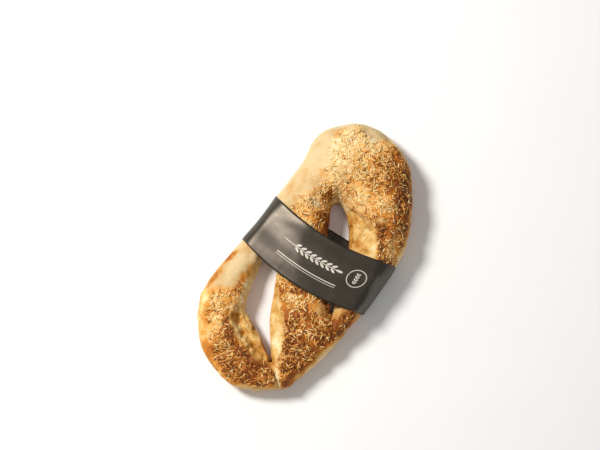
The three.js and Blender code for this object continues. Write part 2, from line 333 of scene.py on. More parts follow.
# ---- Plan fields ----
DEPTH = np.minimum(inward(OUTLINE), np.minimum(-inward(UPPER_SLIT), -inward(LOWER_SLIT)))
FROM_OUTLINE = inward(OUTLINE)
FROM_SLITS = -np.maximum(inward(UPPER_SLIT), inward(LOWER_SLIT))
RISEN = smoothstep(*CLIMB, PLAN_Y + CLIMB_ACROSS * PLAN_X)
CROWN = FOOT_CROWN + (HEAD_CROWN - FOOT_CROWN) * RISEN
RIM = FOOT_RIM + (HEAD_RIM - FOOT_RIM) * RISEN
BAND_ACROSS = np.array([math.cos(BAND_ANGLE), math.sin(BAND_ANGLE)])
BAND_ALONG = np.array([-math.sin(BAND_ANGLE), math.cos(BAND_ANGLE)])
BAND_V = (PLAN_X - BAND_CENTRE[0]) * BAND_ALONG[0] + (PLAN_Y - BAND_CENTRE[1]) * BAND_ALONG[1]
FLOOR_OF_LOAF = SEAT_RELIEF * (1 - smoothstep(*SEAT_FADE, np.abs(BAND_V) - BAND_WIDTH / 2))


def spot(x, y, radius):
    """1 at the middle of a round spot on the plan, fading to nothing round it."""
    return np.exp(-(((PLAN_X - x) ** 2 + (PLAN_Y - y) ** 2) / radius**2))


def crust_height():
    """Height of the crust over the plan, and how much the finished crust stands over or under it."""
    t = np.clip(DEPTH / RIM, 0, 1)
    plain = EQUATOR + CROWN * np.sqrt(1 - (1 - t) ** 2)
    inside = (DEPTH > 0).astype(float)
    rounded = blur(plain * inside, ROUNDING) / np.maximum(blur(inside, ROUNDING), 1e-3)
    change = (rounded - plain) * smoothstep(3, 11, DEPTH)
    for ring, drop in SUNKEN_TEARS:
        change -= drop * (1 - np.exp(-np.clip(inward(ring), 0, None) / TEAR_SLOPE))
    for points, depths, half in SEAMS:
        d, along = from_line(points)
        change -= (depths[0] + (depths[1] - depths[0]) * along) * np.exp(-((d / half) ** 2))
    for points, height, half in LIPS:
        d, along = from_line(points)
        ends = smoothstep(0, LIP_FADE, along) * smoothstep(1, 1 - LIP_FADE, along)
        change += height * ends * np.exp(-((d / half) ** 2))
    for x, y, radius, height in SWELLS:
        change += height * spot(x, y, radius)
    for x, y, radius in PITS:
        change -= PIT_DEPTH * radius * spot(x, y, radius)
    return plain, blur(change, 0.7)


PLAIN_TOP, TOP_CHANGE = crust_height()


def soft_region(points, soft=1.0):
    """1 inside a ring on the plan and 0 outside, with an edge `soft` millimetres wide on each side."""
    return smoothstep(-soft, soft, inward(points))


WALLS = np.maximum.reduce([soft_region(ring) for ring in TEARS])
TORN = np.maximum.reduce([  # where the dough tore into lumps
    soft_region(LOWER_LEFT_BANK, 2),
    0.5 * soft_region(UPPER_BANK, 2),
    0.2 * soft_region(LOWER_RIGHT_WALL, 2),
])
SMOOTH_SKIN = np.maximum.reduce([soft_region(FLANK, 5), soft_region(HEAD_PATCH, 4)])
FROM_FLANK = inward(FLANK)
HEAD_PATCH_SKIN = 0.95 * soft_region(HEAD_PATCH, 4)
BUBBLES = np.maximum.reduce([soft_region(r, 1.6) for r in BARE_BUBBLES] + [soft_region(SHOULDER_ROLL, 2)])
REDDISH = soft_region(UPPER_LEFT_WALL, 2)
BARE_EDGE = np.maximum.reduce([np.exp(-((from_line(line)[0] / 2.6) ** 2)) for line in BARE_LINES])


def toast_and_painted_shading_field():
    """How much browner or paler the crust is, over the plan: its browning, with spots of painted shade and
    painted light.
    """
    field = np.zeros(PLAN_SHAPE)
    for x, y, long, wide, turn, amount in TOAST_AND_PAINTED_SHADING_SPOTS:
        c, s = math.cos(math.radians(turn)), math.sin(math.radians(turn))
        a = (PLAN_X - x) * c + (PLAN_Y - y) * s
        b = (PLAN_Y - y) * c - (PLAN_X - x) * s
        field += amount * np.exp(-((a / long) ** 2) - (b / wide) ** 2)
    return field


# The pits are browned as well: toasted, and partly painted shade in their hollows.
TOAST_AND_PAINTED_SHADING = toast_and_painted_shading_field() + 0.9 * sum(spot(*pit) for pit in PITS)


# ---- Mesh work ----
def make_active(obj):
    bpy.ops.object.select_all(action="DESELECT")
    obj.select_set(True)
    bpy.context.view_layer.objects.active = obj


def apply_modifier(obj, kind, **settings):
    make_active(obj)
    modifier = obj.modifiers.new(kind.title(), kind)
    for key, value in settings.items():
        setattr(modifier, key, value)
    bpy.ops.object.modifier_apply(modifier=modifier.name)


def places(obj):
    """The vertices of a mesh, in millimetres of the plan."""
    co = np.empty(len(obj.data.vertices) * 3)
    obj.data.vertices.foreach_get("co", co)
    co = co.reshape(-1, 3) / MM
    co[:, :2] += MIDDLE
    return co


def set_places(obj, points):
    co = points.copy()
    co[:, :2] -= MIDDLE
    obj.data.vertices.foreach_set("co", (co * MM).ravel())
    obj.data.update()


def set_number(obj, name, values):
    """A number on each vertex, for the material to read."""
    layer = obj.data.attributes.new(name, "FLOAT", "POINT")
    layer.data.foreach_set("value", np.asarray(values, np.float32))


def vertex_normals(obj):
    n = np.empty(len(obj.data.vertices) * 3)
    obj.data.vertex_normals.foreach_get("vector", n)
    return n.reshape(-1, 3)


def edit_whole():
    bpy.ops.object.mode_set(mode="EDIT")
    bpy.ops.mesh.select_all(action="SELECT")


def turn_outwards():
    """Turns the faces of the mesh being edited outwards, and ends the editing."""
    bpy.ops.mesh.select_all(action="SELECT")
    bpy.ops.mesh.normals_make_consistent(inside=False)
    bpy.ops.object.mode_set(mode="OBJECT")


def new_mesh(name, points, faces):
    """A smooth-shaded mesh object from points in millimetres of the plan, and a list of faces."""
    mesh = bpy.data.meshes.new(name)
    mesh.from_pydata(np.zeros((len(points), 3)).tolist(), [], faces)
    obj = bpy.data.objects.new(name, mesh)
    bpy.context.scene.collection.objects.link(obj)
    set_places(obj, points)
    mesh.polygons.foreach_set("use_smooth", np.ones(len(faces), bool))
    return obj


# ---- The baked loaf ----
def dough(points):
    """Below zero inside the dough, above zero outside, and near its surface about the distance to it."""
    x, y, z = points.T
    depth, crown, rim = read(DEPTH, x, y), read(CROWN, x, y), read(RIM, x, y)
    above = z > EQUATOR
    rim = np.where(above, rim, UNDER_RIM)
    reach = np.where(above, crown, UNDER)
    body = (np.hypot(np.clip(rim - depth, 0, None) / rim, (z - EQUATOR) / reach) - 1) * UNDER
    return np.maximum(body, read(FLOOR_OF_LOAF, x, y) - z)


def onto_surface(points, rounds=6, probe=0.3, longest=1.2):
    """Moves points the shortest way to the dough's smooth surface, at most `longest` in each round."""
    p = points.copy()
    for _ in range(rounds):
        value = dough(p)
        steps = probe * np.eye(3)
        slope = np.stack([(dough(p + step) - dough(p - step)) / (2 * probe) for step in steps], 1)
        move = -value[:, None] * slope / np.maximum(np.sum(slope**2, 1, keepdims=True), 0.05)
        length = np.linalg.norm(move, axis=1, keepdims=True)
        p += move * np.minimum(1, longest / np.maximum(length, 1e-9))
    return p


def clear_of_slits(points):
    """How far each point must move, in plan, to leave the slits open."""
    x, y, _ = points.T
    inside = np.clip(-read(FROM_SLITS, x, y), 0, 3)
    across = read(FROM_SLITS, x + 0.5, y) - read(FROM_SLITS, x - 0.5, y)
    along = read(FROM_SLITS, x, y + 0.5) - read(FROM_SLITS, x, y - 0.5)
    return np.stack([across, along], 1) * inside[:, None]


def slit_cutter():
    """A blade which opens the lower slit's tip right through the dough."""
    below, height = -5.0, 60 * MM
    bpy.ops.object.select_all(action="DESELECT")
    bpy.ops.mesh.primitive_circle_add(vertices=len(SLIT_TIP), radius=0.01, fill_type="NGON")
    blade = bpy.context.object
    set_places(blade, np.array([(x, y, below) for x, y in SLIT_TIP]))
    edit_whole()
    bpy.ops.mesh.extrude_region_move(TRANSFORM_OT_translate={"value": (0, 0, height)})
    turn_outwards()
    return blade


def browning_and_painted_shading(points):
    """How brown the crust is, from about 0 to 1, with painted shade and painted light in it."""
    x, y, _ = points.T
    drift = 0.3 * smoothstep(5, 62, x) + 0.3 * smoothstep(0, -70, y) * smoothstep(-45, 5, x)
    # The outer rim, all but the lower left, is made paler: its bare crust, and partly painted light on sides
    # in shade.
    rim = smoothstep(5, 1, read(FROM_OUTLINE, x, y)) * smoothstep(-48, 5, x + 0.3 * (y + 100))
    brown_and_painted_shading = read(TOAST_AND_PAINTED_SHADING, x, y) + drift + 0.2 * layered(points, 15, 3, 8.3) - 0.42 * rim
    return brown_and_painted_shading - 0.7 * np.clip(brown_and_painted_shading - 0.42, 0, None)


def shaped_loaf():
    """The loaf's solid copied in fine, even faces, and laid on its smooth surface."""
    loaf = bpy.data.objects.new("baked_loaf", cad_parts["loaf"].data.copy())
    bpy.context.scene.collection.objects.link(loaf)
    make_active(loaf)
    edit_whole()
    bpy.ops.mesh.remove_doubles(threshold=0.00001)
    bpy.ops.object.mode_set(mode="OBJECT")
    cutter = slit_cutter()
    apply_modifier(loaf, "BOOLEAN", object=cutter, operation="DIFFERENCE", solver="EXACT")
    bpy.data.objects.remove(cutter)
    apply_modifier(loaf, "REMESH", mode="VOXEL", voxel_size=FACE_SIZE * MM)
    apply_modifier(loaf, "SMOOTH", factor=0.5, iterations=12)
    set_places(loaf, onto_surface(places(loaf)))
    apply_modifier(loaf, "SMOOTH", factor=0.5, iterations=3)
    return loaf


def raised(p):
    """The places, with the crust lifted over its plain curve, or sunk, by the plan."""
    x, y, z = p.T
    top = read(PLAIN_TOP, x, y)
    lift = np.clip((z - EQUATOR) / np.maximum(top - EQUATOR, 1), 0, 1)
    return np.column_stack([x, y, z + lift * read(TOP_CHANGE, x, y)])


def roughened(p, n, torn):
    """The places moved along their normals into lumps, ragged fibres in the tears and faint creases."""
    x, y, z = p.T
    skin = read(SMOOTH_SKIN, x, y)
    lumps = 1.5 * layered(p, 12, 2, 5.0) + 0.65 * layered(p, 4.6, 2, 9.0)
    rough = 1.9 * layered(p, 32, 2) + (1 - 0.75 * np.maximum(skin, read(WALLS, x, y))) * lumps
    fibres = p @ TORN_FIBRES
    rough += torn * (2.4 * (0.35 - np.abs(ripple(fibres, 5.0, 2.0))) + 0.9 * layered(p, 4.5, 2, 6.0))
    rough -= torn * 3.0 * smoothstep(0.25, 0.6, ripple(p, 8.0, 11.0))
    rough += 0.22 * (ripple(p * np.array([0.22, 1, 1]), 2.4, 4.0) * skin)
    rough *= 0.5 + 0.5 * smoothstep(0.1, 0.6, n[:, 2])
    rough *= 1 - 0.9 * read(spot(7.5, -93, 5), x, y)  # the slit's tip stays clean
    up = smoothstep(-0.35, 0.15, n[:, 2])
    p = p + n * (rough * up * smoothstep(0.5, 7, z))[:, None]
    p[:, 2] = np.maximum(p[:, 2], read(FLOOR_OF_LOAF, p[:, 0], p[:, 1]) * (n[:, 2] < -0.3))
    p[:, :2] += clear_of_slits(p)
    return p


def mark_crust(loaf, p, torn):
    """What each vertex is, for the material: torn dough, smooth skin, underside and how brown, with painted
    shade and painted light in that.
    """
    n = vertex_normals(loaf)
    x, y, z = p.T
    upper = smoothstep(EQUATOR - 4, EQUATOR + 5, z)
    steep = np.maximum(smoothstep(0.75, 0.35, n[:, 2]), smoothstep(16, 12, z))
    inner = smoothstep(7, 3, read(FROM_SLITS, x, y)) * steep
    walls = np.maximum(read_ragged(WALLS, p), inner)
    set_number(loaf, "wall", np.maximum(walls, read(BUBBLES, x, y) * 0.7) * smoothstep(-0.5, 0.1, n[:, 2]))
    set_number(loaf, "skin", read(SMOOTH_SKIN, x, y) * upper)
    set_number(loaf, "torn", torn)
    set_number(loaf, "reddish", read(REDDISH, x, y))
    set_number(loaf, "toast", browning_and_painted_shading(p))
    set_number(loaf, "under", smoothstep(-0.2, -0.75, n[:, 2]))
    set_number(loaf, "low", 1 - upper)


def bake_loaf():
    """The loaf, shaped, risen, torn and blistered."""
    loaf = shaped_loaf()
    p = raised(places(loaf))
    set_places(loaf, p)
    torn = read(TORN, p[:, 0], p[:, 1])
    p = roughened(p, vertex_normals(loaf), torn)
    set_places(loaf, p)
    loaf.data.polygons.foreach_set("use_smooth", np.ones(len(loaf.data.polygons), bool))
    mark_crust(loaf, p, torn)
    return loaf


# ---- What is baked onto the crust ----
def sliver(name, length, width, bend):
    """One curved shred along X, drawn out ring by ring from a small end face: its corners and faces."""
    rings = len(SLIVER_WIDTHS) - 1
    step = length / rings * MM
    bpy.ops.object.select_all(action="DESELECT")
    bpy.ops.mesh.primitive_circle_add(
        vertices=SLIVER_SIDES, radius=0.5 * width * SLIVER_WIDTHS[0] * MM, fill_type="NGON",
        rotation=(0, math.pi / 2, 0), location=(-0.5 * length * MM, 0, 0),
    )
    obj = bpy.context.object
    obj.name = name
    bpy.ops.object.transform_apply(location=True, rotation=True, scale=True)
    edit_whole()
    for n in range(rings):
        slope = -bend * ((n + 0.5) / rings * 2 - 1)
        bpy.ops.mesh.extrude_region_move(TRANSFORM_OT_translate={"value": (step, slope * step, 0)})
        grow = SLIVER_WIDTHS[n + 1] / SLIVER_WIDTHS[n]
        bpy.ops.transform.resize(value=(1, grow, grow))
    bpy.ops.mesh.select_all(action="SELECT")
    bpy.ops.transform.resize(value=(1, 1, SLIVER_HEIGHT))
    turn_outwards()
    co = np.empty(len(obj.data.vertices) * 3)
    obj.data.vertices.foreach_get("co", co)
    faces = [list(f.vertices) for f in obj.data.polygons]
    co = co.reshape(-1, 3) / MM
    bpy.data.objects.remove(obj)
    return co, faces


def crust_spots(loaf, wanted, chance, rng):
    """Random places on the crust: points and normals. chance is how thickly they lie round each vertex."""
    mesh = loaf.data
    mesh.calc_loop_triangles()
    corners = np.empty(len(mesh.loop_triangles) * 3, int)
    mesh.loop_triangles.foreach_get("vertices", corners)
    corners = corners.reshape(-1, 3)
    p, n = places(loaf), vertex_normals(loaf)
    area = 0.5 * np.linalg.norm(
        np.cross(p[corners[:, 1]] - p[corners[:, 0]], p[corners[:, 2]] - p[corners[:, 0]]), axis=1
    )
    weight = area * chance[corners].mean(1)
    pick = rng.choice(len(corners), wanted, p=weight / weight.sum())
    a, b = rng.random(wanted), rng.random(wanted)
    a, b = np.where(a + b > 1, 1 - a, a), np.where(a + b > 1, 1 - b, b)
    share = np.stack([1 - a - b, a, b], 1)[:, :, None]
    point = (p[corners[pick]] * share).sum(1)
    normal = (n[corners[pick]] * share).sum(1)
    return point, normal / np.linalg.norm(normal, axis=1, keepdims=True)


def scatter(name, shapes, spots, rng, lift, tilt, sizes, shades):
    """Copies the shapes onto the spots, each turned at random, as one mesh with a shade on each copy."""
    point, normal = spots
    count = len(point)
    flat = rng.standard_normal((count, 3))
    flat -= normal * np.sum(flat * normal, 1, keepdims=True)
    along = flat / np.linalg.norm(flat, axis=1, keepdims=True)
    along = along + normal * (rng.standard_normal(count) * tilt)[:, None]
    along /= np.linalg.norm(along, axis=1, keepdims=True)
    side = np.cross(normal, along)
    side /= np.linalg.norm(side, axis=1, keepdims=True)
    up = np.cross(along, side)
    kind = rng.integers(0, len(shapes), count)
    size = rng.uniform(*sizes, (count, 3))
    verts, faces, shade, tip = [], [], [], []
    start = 0
    for n in range(count):
        co, polygons = shapes[kind[n]]
        local = co * size[n]
        out = local[:, 2:] + lift[n]
        verts.append(point[n] + local[:, :1] * along[n] + local[:, 1:2] * side[n] + out * up[n])
        faces += [[start + v for v in f] for f in polygons]
        shade.append(np.full(len(co), shades[n]))
        tip.append(np.abs(co[:, 0]) / np.abs(co[:, 0]).max())
        start += len(co)
    obj = new_mesh(name, np.concatenate(verts), faces)
    set_number(obj, "shade", np.concatenate(shade))
    set_number(obj, "tip", np.concatenate(tip))
    return obj


def topping_chance(loaf):
    """How thickly the topping lies round each vertex of the crust."""
    p, n = places(loaf), vertex_normals(loaf)
    x, y, z = p.T
    bare_rim = 3.5 + 5 * smoothstep(-20, -45, x) - 1.5 * smoothstep(20, 60, x)
    bare_rim += 3.5 * read(spot(42, -88, 24), x, y)
    in_from_rim = smoothstep(bare_rim - 1.5, bare_rim + 3, read(FROM_OUTLINE, x, y))
    drift = 4 * layered(p, 14, 2, 6.1)
    skin = np.maximum(smoothstep(-7, 4, read(FROM_FLANK, x, y) + drift), read(HEAD_PATCH_SKIN, x, y))
    covered = (1 - read_ragged(WALLS, p)) * (1 - skin)
    covered *= (1 - 0.75 * read(BUBBLES, x, y)) * (1 - 0.8 * read(BARE_EDGE, x, y))
    from_paper_middle = np.abs(read(BAND_V, x, y) + 6)  # the paper has slipped about that far on top
    beside_paper = smoothstep(BAND_WIDTH / 2 - 10, BAND_WIDTH / 2 - 4, from_paper_middle)
    thick = 0.5 * smoothstep(-85, -108, y) + 0.5 * read(spot(20, -60, 13), x, y)
    patchy = np.clip(0.8 + 1.0 * layered(p, 15, 2, 1.7) + thick, 0.2, 1.6)
    level = smoothstep(0.15, 0.6, n[:, 2]) * (z > EQUATOR + 4)
    return in_from_rim * covered * beside_paper * patchy * level


def shred_topping(loaf, name, rng, paler, lift, tilt):
    """One layer of shreds. lift is the least and the most that their middles stand over the crust."""
    shapes = [
        sliver("shred_a", 4.6, 1.15, 0.12),
        sliver("shred_b", 5.4, 1.0, 0.28),
        sliver("shred_c", 3.6, 1.2, -0.2),
        sliver("shred_d", 6.0, 1.05, -0.08),
    ]
    spots = crust_spots(loaf, SHREDS_IN_LAYER, topping_chance(loaf), rng)
    brown_and_painted_shading = browning_and_painted_shading(spots[0])
    # paler makes the top layer lighter and the sunken one darker: partly how toasted each is, partly painted
    # light and painted shade between the layers.
    shades = 0.28 - paler + 0.26 * rng.standard_normal(SHREDS_IN_LAYER) + 0.8 * brown_and_painted_shading
    shades += 0.12 * smoothstep(-65, -95, spots[0][:, 1])
    height = rng.uniform(*lift, SHREDS_IN_LAYER) - 0.35 * smoothstep(0.4, 0.05, brown_and_painted_shading)
    return scatter(name, shapes, spots, rng, height, tilt, (0.75, 1.15), np.clip(shades, 0, 0.86))


def rosemary_needles(loaf, rng):
    shapes = [sliver("needle_a", 6.0, 0.85, 0.25), sliver("needle_b", 4.2, 0.9, -0.15)]
    spots = crust_spots(loaf, NEEDLES, topping_chance(loaf), rng)
    height = rng.uniform(0.2, 0.8, NEEDLES)
    shades = rng.uniform(0, 1, NEEDLES)
    return scatter("rosemary_needles", shapes, spots, rng, height, 0.12, (0.7, 1.1), shades)


# ---- The paper band ----
def bow(u, z):
    """How far the paper has slipped towards the foot where it lies on top."""
    return BAND_BOW * smoothstep(0, 24, z) * np.clip(1 - (u / BAND_HALF_SPAN) ** 2, 0, None)


def touch_points(reach, across, up):
    """Where the lines that lie `reach` away, square to each direction, meet their neighbours."""
    b, across_b, up_b = np.roll(reach, -1), np.roll(across, -1), np.roll(up, -1)
    turn = across * up_b - up * across_b
    return np.stack([(reach * up_b - b * up) / turn, (across * b - across_b * reach) / turn], 1)


def band_rings(things):
    """The taut loop of paper at each slice of its width: corners (across, up) from the base's middle."""
    p = np.concatenate([places(o) for o in things])
    off = p[:, :2] - BAND_CENTRE
    u, v, z = off @ BAND_ACROSS, off @ BAND_ALONG, p[:, 2]
    v = v + bow(u, z)
    turn = np.arange(BAND_DIRECTIONS) / BAND_DIRECTIONS * 2 * math.pi - math.pi / 2
    across, up = np.cos(turn), np.sin(turn)
    at = np.linspace(-BAND_WIDTH / 2, BAND_WIDTH / 2, BAND_SLICES)
    reach = []
    for v0 in at:
        near = np.abs(v - v0) < SLICE_REACH
        reach.append((u[near, None] * across + z[near, None] * up).max(0))
    reach = np.array(reach)
    smooth = reach.copy()
    for _ in range(12):
        padded = np.vstack([smooth[:1], smooth, smooth[-1:]])
        smooth = 0.25 * padded[:-2] + 0.5 * padded[1:-1] + 0.25 * padded[2:]
    smooth += 0.6 * np.clip(reach - smooth, 0, None).max(0) * (up > -0.9) + PAPER_GAP + PAPER
    rings = []
    for a in smooth:
        touching = (touch_points(a, across, up) @ np.stack([across, up])).max(0)
        ring = touch_points(touching, across, up)
        base = 0.5 * (ring[:1] + ring[-1:])
        rings.append(np.vstack([base, ring, base]))
    return at, rings


def along_ring(ring, count, extra):
    """Even steps round the ring and on past its start by `extra`, with its folds rounded.

    Returns the places, how far along each one is, and the length once round.
    """
    far = np.concatenate([[0], np.cumsum(np.linalg.norm(np.diff(ring, axis=0), axis=1))])
    once, fine = far[-1], 900
    s = np.arange(fine) / fine * once
    loop = np.stack([np.interp(s, far, ring[:, 0]), np.interp(s, far, ring[:, 1])], 1)
    reach = 24
    taps = np.exp(-0.5 * (np.arange(-reach, reach + 1) * (once / fine) / FOLD_SOFTNESS) ** 2)
    loop = sum(w * np.roll(loop, n - reach, 0) for n, w in enumerate(taps / taps.sum()))
    s = np.linspace(0, once + extra, count)
    steps = s / once * fine
    return np.stack([np.interp(steps, np.arange(2 * fine), np.tile(c, 2)) for c in loop.T], 1), s, once


def paper_band(things):
    """The closed strip of paper, drawn taut round the things and then a little uneven."""
    at, rings = band_rings(things)
    verts, run, across_paper = [], [], []
    for v0, ring in zip(at, rings):
        path, s, once = along_ring(ring, BAND_STEPS, BAND_OVERLAP)
        outwards = np.stack([np.gradient(path[:, 1]), -np.gradient(path[:, 0])], 1)
        outwards /= np.linalg.norm(outwards, axis=1, keepdims=True)
        lap = smoothstep(once - 6, once + 1, s)  # 1 where the strip lies over its own beginning
        path += outwards * (lap * (PAPER + LAP_GAP))[:, None]
        top = np.argmin(np.abs(path[:, 0]) + 1000 * (path[:, 1] < EQUATOR))  # nearest the top's middle
        u, z = path.T
        plan = BAND_CENTRE + u[:, None] * BAND_ACROSS + (v0 - bow(u, z))[:, None] * BAND_ALONG
        verts.append(np.column_stack([plan, z]))
        slope = (path[top + 1, 0] - path[top - 1, 0]) / (s[top + 1] - s[top - 1])
        run.append(s[top] - path[top, 0] / slope - s)
        across_paper.append(np.full(BAND_STEPS, v0))
    index = np.arange(BAND_SLICES * BAND_STEPS).reshape(BAND_SLICES, BAND_STEPS)
    faces = np.stack([index[:-1, :-1], index[:-1, 1:], index[1:, 1:], index[1:, :-1]], -1).reshape(-1, 4)
    band = new_mesh("wrapped_band", np.concatenate(verts), faces.tolist())
    p, n = places(band), vertex_normals(band)
    off = p[:, :2] - BAND_CENTRE
    flat = np.column_stack([off @ BAND_ACROSS, 0.45 * (off @ BAND_ALONG), 0.4 * p[:, 2]])
    waves = 0.22 * ripple(flat, 25, 2.2) + 0.05 * ripple(flat, 7, 5.2)
    outward = np.sign(np.sum(n * np.column_stack([off, p[:, 2] - EQUATOR]), 1))
    p += n * (outward * waves * smoothstep(4, 12, p[:, 2]))[:, None]
    set_places(band, p)
    uv = band.data.uv_layers.new(name="strip")
    corners = np.empty(len(band.data.loops), int)
    band.data.loops.foreach_get("vertex_index", corners)
    strip = np.column_stack([np.concatenate(run), np.concatenate(across_paper)]) / STRIP_SCALE
    uv.data.foreach_set("uv", strip[corners].ravel())
    make_active(band)
    bpy.ops.object.mode_set(mode="EDIT")
    turn_outwards()
    apply_modifier(band, "SOLIDIFY", thickness=PAPER * MM, offset=-1.0)
    return band


# ---- Materials ----
def tone(code):
    """A colour as Blender holds it, from its usual six-digit code."""
    parts = [int(code[n : n + 2], 16) / 255 for n in (0, 2, 4)]
    return tuple(c / 12.92 if c <= 0.04045 else ((c + 0.055) / 1.055) ** 2.4 for c in parts) + (1.0,)


def by_node(operation):
    """A way to join a Value to another one, or to a number, with a Math node."""

    def joined(self, other):
        return self.math(operation, self, other)

    return joined


class Value:
    """A number or colour that changes over a surface. Arithmetic on it adds Math nodes."""

    def __init__(self, finish, socket):
        self.finish, self.socket = finish, socket

    def math(self, operation, *values):
        return self.finish.node("ShaderNodeMath", {"operation": operation}, dict(enumerate(values)))

    __add__ = __radd__ = by_node("ADD")
    __mul__ = __rmul__ = by_node("MULTIPLY")
    __sub__ = by_node("SUBTRACT")
    __truediv__ = by_node("DIVIDE")
    __pow__ = by_node("POWER")
    larger = by_node("MAXIMUM")

    def __rsub__(self, other):
        return self.math("SUBTRACT", other, self)

    def __abs__(self):
        return self.math("ABSOLUTE", self)

    def ramp(self, low, high):
        """0 below low, 1 above high, and smooth between them."""
        return self.finish.node(
            "ShaderNodeMapRange", {"interpolation_type": "SMOOTHSTEP"},
            {"Value": self, 1: low, 2: high, 3: 0.0, 4: 1.0},
        )


class Finish:
    """One material's nodes."""

    def __init__(self, name):
        self.material = bpy.data.materials.new(name)
        self.material.use_nodes = True
        self.tree = self.material.node_tree
        self.shader = next(n for n in self.tree.nodes if n.type == "BSDF_PRINCIPLED")

    def put(self, socket, value):
        if isinstance(value, Value):
            self.tree.links.new(value.socket, socket)
        else:
            socket.default_value = value

    def node(self, kind, settings=None, values=None, output=0):
        node = self.tree.nodes.new(kind)
        for key, value in (settings or {}).items():
            if key == "stops":
                ramp = node.color_ramp
                while len(ramp.elements) < len(value):
                    ramp.elements.new(0.5)
                for element, (place, colour) in zip(ramp.elements, value):
                    element.position, element.color = place, colour
            else:
                setattr(node, key, value)
        for key, value in (values or {}).items():
            self.put(node.inputs[key], value)
        return Value(self, node.outputs[output])

    def number(self, name):
        return self.node("ShaderNodeAttribute", {"attribute_name": name}, output="Fac")

    def place(self):
        return self.node("ShaderNodeTexCoord", output="Object")

    def stretched(self, vector, scale, turn=(0.0, 0.0, 0.0)):
        return self.node("ShaderNodeMapping", values={"Vector": vector, "Scale": scale, "Rotation": turn})

    def noise(self, vector, size, detail=3.0, rough=0.55, warp=0.0):
        """Cloudy unevenness, 0 to 1, in lumps of about `size` millimetres."""
        return self.node(
            "ShaderNodeTexNoise",
            values={
                "Vector": vector, "Scale": 1 / (size * MM), "Detail": detail, "Roughness": rough,
                "Distortion": warp,
            },
        )

    def pits(self, vector, size):
        """Distance from scattered points about `size` millimetres apart, in the same measure."""
        return self.node("ShaderNodeTexVoronoi", values={"Vector": vector, "Scale": 1 / (size * MM)})

    def colours(self, value, *stops):
        """A run of colours over the value. Each stop is the value and its colour's code."""
        stops = [(at, tone(code)) for at, code in stops]
        return self.node("ShaderNodeValToRGB", {"stops": stops}, {0: value})

    def mix(self, share, a, b):
        return self.node("ShaderNodeMix", {"data_type": "RGBA"}, {0: share, 6: a, 7: b}, output=2)

    def bump(self, height, distance, strength):
        values = {"Height": height, "Distance": distance * MM, "Strength": strength}
        return self.node("ShaderNodeBump", values=values)

    def set(self, **values):
        for key, value in values.items():
            self.put(self.shader.inputs[key.replace("_", " ")], value)
        return self.material


def crust_finish():
    """Browned crust, with painted shade and painted light in its browning, paler smooth skin, torn crumb, and
    a floured base with pores.
    """
    f = Finish("crust")
    place = f.place()
    toast, wall, skin = f.number("toast"), f.number("wall"), f.number("skin")
    torn, reddish, under, low = f.number("torn"), f.number("reddish"), f.number("under"), f.number("low")
    broad = f.noise(place, 22, 3.0, 0.55)
    mottle = f.noise(place, 6.5, 4.0, 0.6, 0.4)
    fine = f.noise(place, 1.6, 3.0, 0.6)
    grain = (broad - 0.5) * 0.4 + (mottle - 0.5) * 0.5 + (fine - 0.5) * 0.25
    wrinkle = f.noise(f.stretched(place, (0.3, 1.0, 1.0)), 1.7, 4.0, 0.65, 0.6)
    freckle = f.noise(place, 1.1, 3.0, 0.6).ramp(0.54, 0.7)
    level = 0.3 + toast + grain
    crust = f.colours(
        level, (0.0, "F6DFAF"), (0.2, "EAC27E"), (0.4, "D69138"), (0.6, "B76614"), (0.8, "84430C"),
        (1.0, "4C250A"),
    )
    creases = (wrinkle - 0.5) * 0.3 + freckle * 0.1
    pale_level = 0.08 + toast * (0.9 + (mottle - 0.5) * 1.8) + grain * 0.75 + creases
    pale = f.colours(
        pale_level, (0.0, "D2B88A"), (0.2, "C9A66F"), (0.36, "C8934E"), (0.5, "C27A28"), (0.8, "84440F"),
        (1.0, "5E300F"),
    )
    rim = 1 - abs(wall - 0.5) * 2
    lumps = (mottle - 0.5) + (fine - 0.5) * 0.5
    crumb_level = 0.18 + toast * 0.62 + reddish * 0.45 + lumps + torn * 0.04
    crumb = f.colours(
        crumb_level, (0.0, "EEDFB4"), (0.16, "E4C88E"), (0.32, "DAAF68"), (0.54, "C28838"),
        (0.75, "935017"), (1.0, "5A2D0D"),
    )
    colour = f.mix(skin * 0.95, crust, pale)
    colour = f.mix(wall, colour, crumb)
    colour = f.mix(rim * (mottle - 0.2).ramp(0.0, 0.5) * (1 - skin) * 0.55, colour, tone("A5601F"))
    # The low sides' bare crust, in a run set lighter partly as painted light on sides in shade.
    side_level = 0.24 + toast * 0.7 + grain * 0.7
    side = f.colours(side_level, (0.0, "E4B772"), (0.4, "CE8F44"), (0.7, "A9642A"), (1.0, "6E3A14"))
    colour = f.mix(low * (1 - wall) * 0.85, colour, side)
    base_level = (broad - 0.5) * 0.9 + (mottle - 0.5) * 0.7 + 0.5
    base = f.colours(base_level, (0.0, "E0B06A"), (0.45, "C98D45"), (0.8, "A86A2B"), (1.0, "7E4817"))
    flour = f.noise(place, 9, 5.0, 0.7).ramp(0.56, 0.72) * 0.45
    base = f.mix(flour, base, tone("F0E2C4"))
    colour = f.mix(under, colour, base)
    pores = 1 - f.pits(place, 2.6).ramp(0.12, 0.3)
    hollows = pores * under * f.noise(place, 5, 2.0).ramp(0.45, 0.6)
    colour = f.mix(hollows * 0.6, colour, tone("8A5320"))
    height = (fine - 0.5) * 0.5 + (f.noise(place, 0.7, 2.0) - 0.5) * 0.3 - hollows * 0.8
    height = height * (1 - 0.3 * skin) + (wrinkle - 0.5) * skin * 1.1
    normal = f.bump(height, 0.5, 0.7)
    return f.set(
        Base_Color=colour, Roughness=(0.66 + (mottle - 0.5) * 0.2 + 0.12 * wall), Normal=normal,
        Subsurface_Weight=0.12, Subsurface_Radius=(0.004, 0.002, 0.0008), Specular_IOR_Level=0.28,
    )


